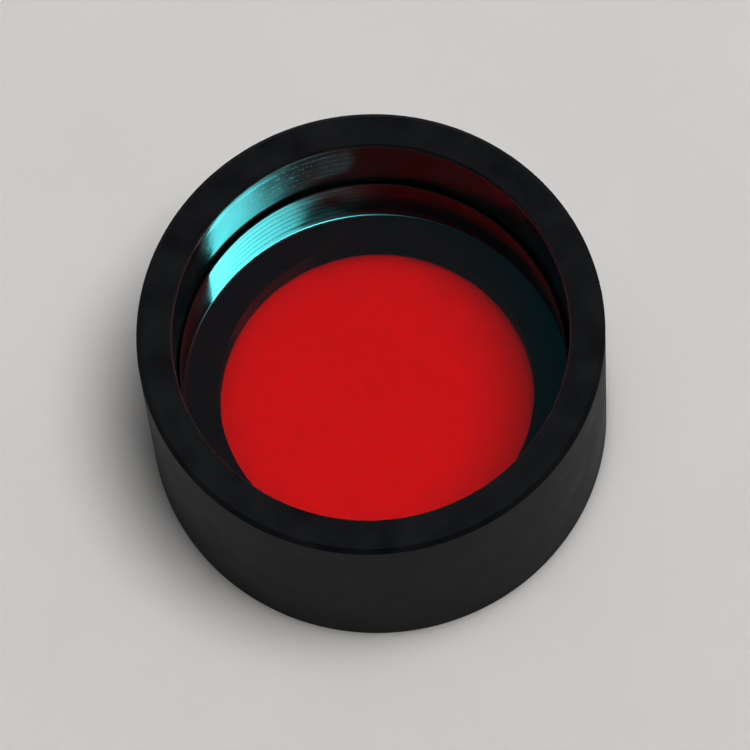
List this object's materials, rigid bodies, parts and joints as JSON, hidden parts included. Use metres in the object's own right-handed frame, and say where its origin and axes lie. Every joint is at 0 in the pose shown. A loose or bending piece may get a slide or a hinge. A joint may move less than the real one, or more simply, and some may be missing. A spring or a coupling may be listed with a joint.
{
  "type": "optical filter",
  "caption": "Round coated glass filter, red in transmission and cyan by reflection, cemented on the ledge inside a slim black turned ring.",
  "frame": {"origin": "centre of the narrow ledge face that the part stands on", "axes": "+Z along the optical axis, from the narrow ledge face towards the wide mouth; X and Y are any two square directions, because the part is round"},
  "size_m": [0.0125, 0.0124, 0.007],
  "materials": {
    "black_anodised": "satin black anodised",
    "coated_glass": "polished, with a mirror-like cyan coating on the upper face"
  },
  "bodies": {
    "root": {"cell": "black_anodised", "filter_plate": "coated_glass"}
  },
  "joints": []
}
